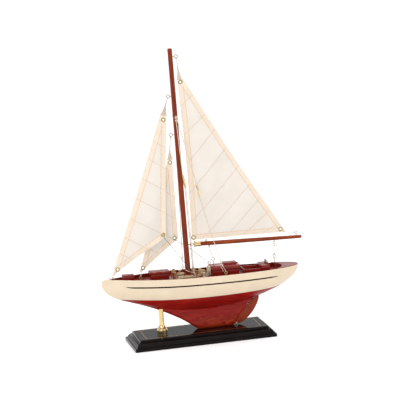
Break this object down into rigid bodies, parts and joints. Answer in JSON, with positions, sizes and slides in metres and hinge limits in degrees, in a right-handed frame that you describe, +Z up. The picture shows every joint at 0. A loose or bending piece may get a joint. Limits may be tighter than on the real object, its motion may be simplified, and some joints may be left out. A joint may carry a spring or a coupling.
{
  "type": "model sailing yacht on display stand",
  "caption": "Wooden model yacht on a moulded stand: long-keel hull with deck fittings, raked mast, boom, three stitched cloth sails, cord rigging and a turning rudder.",
  "frame": {"origin": "centre of the stand's underside", "axes": "+X aft along the hull, +Y to starboard, +Z up"},
  "size_m": [0.3596, 0.097, 0.511],
  "materials": {
    "black_lacquer": "black gloss lacquer over wood",
    "gold_inlay": "thin metallic gold line",
    "polished_brass": "polished turned brass",
    "aged_brass": "bright brass wire, slightly dulled",
    "cream_lacquer": "cream satin-gloss lacquer over wood",
    "mahogany_lacquer": "red mahogany stain under clear lacquer, fine grain",
    "dark_stripe": "dark cut line, satin",
    "deck_lacquer": "dark red stained wood under gloss lacquer",
    "trim_lacquer": "dark red stained wood, gloss",
    "post_wood": "orange-brown turned wood",
    "pale_wood": "pale turned wood",
    "spar_wood": "red-brown varnished dowel, fine grain along its length",
    "rudder_wood": "orange-brown varnished wood",
    "sailcloth": "cream cotton sailcloth, plain weave, slightly sheer",
    "sail_thread": "beige twisted cotton cord",
    "rope": "tan laid rope",
    "steel_wire": "thin bent wire"
  },
  "bodies": {
    "hull": {"stand_base": "black_lacquer", "base_inlay": "gold_inlay", "stand_post": "polished_brass", "post_screw": "aged_brass", "keel_screws": "aged_brass", "hull_topsides": "cream_lacquer", "hull_bottom": "mahogany_lacquer", "cove_stripes": "dark_stripe", "deck": "deck_lacquer", "aft_deck": "deck_lacquer", "foredeck_block": "trim_lacquer", "hatch_body": "trim_lacquer", "hatch_lid": "trim_lacquer", "hatch_handles": "aged_brass", "mast_step": "trim_lacquer", "mooring_posts": "post_wood", "deck_spools": "pale_wood", "post_coils": "rope", "rope_hanks": "rope", "cabin_hank": "rope", "cabin_body": "trim_lacquer", "cabin_roof": "trim_lacquer", "cabin_hatch": "trim_lacquer", "cockpit_coaming": "trim_lacquer", "cockpit_seat": "trim_lacquer", "cockpit_backrest": "trim_lacquer", "deck_eyes": "aged_brass", "mast": "spar_wood", "mast_eyes": "aged_brass", "gooseneck_eye": "aged_brass", "shroud_port": "sail_thread", "shroud_starboard": "sail_thread", "lower_shrouds": "sail_thread", "shroud_tubes": "polished_brass", "s_hook": "steel_wire", "jib_sheet": "sail_thread", "staysail_sheet": "sail_thread", "main_sheet": "sail_thread", "boom_vang": "steel_wire", "heel_lashing": "rope", "rudder_pins": "aged_brass", "heel_tab": "aged_brass"},
    "boom_rig": {"boom": "spar_wood", "boom_ferrule": "polished_brass", "boom_eyes": "aged_brass", "mainsail": "sailcloth", "main_grommets": "polished_brass", "main_halyard": "sail_thread", "clew_outhaul": "sail_thread", "tack_lashing": "sail_thread"},
    "jib_rig": {"jib": "sailcloth", "jib_grommets": "polished_brass", "jib_halyard": "sail_thread", "jib_tack_line": "sail_thread"},
    "staysail_rig": {"staysail": "sailcloth", "staysail_grommets": "polished_brass", "staysail_halyard": "sail_thread", "staysail_tack_line": "sail_thread"},
    "rudder_blade": {"rudder": "rudder_wood"}
  },
  "joints": [
    {"name": "boom_swing", "type": "hinge", "parent": "hull", "child": "boom_rig", "pos_m": [-0.0069, 0, 0.1686], "axis": [-0.0171, 0, 0.9999], "range_deg": [-4, 4], "deforming": ["main_sheet", "boom_vang"]},
    {"name": "jib_swing", "type": "hinge", "parent": "hull", "child": "jib_rig", "pos_m": [-0.1476, 0, 0.1214], "axis": [0.3549, 0, 0.9349], "range_deg": [-4, 4], "deforming": ["jib_sheet"]},
    {"name": "staysail_swing", "type": "hinge", "parent": "hull", "child": "staysail_rig", "pos_m": [-0.0992, 0, 0.119], "axis": [0.2739, 0, 0.9618], "range_deg": [-4, 4], "deforming": ["staysail_sheet"]},
    {"name": "rudder_turn", "type": "hinge", "parent": "hull", "child": "rudder_blade", "pos_m": [0.06227, 0, 0.01637], "axis": [0.6481, 0, 0.7615], "range_deg": [-25, 25]}
  ]
}
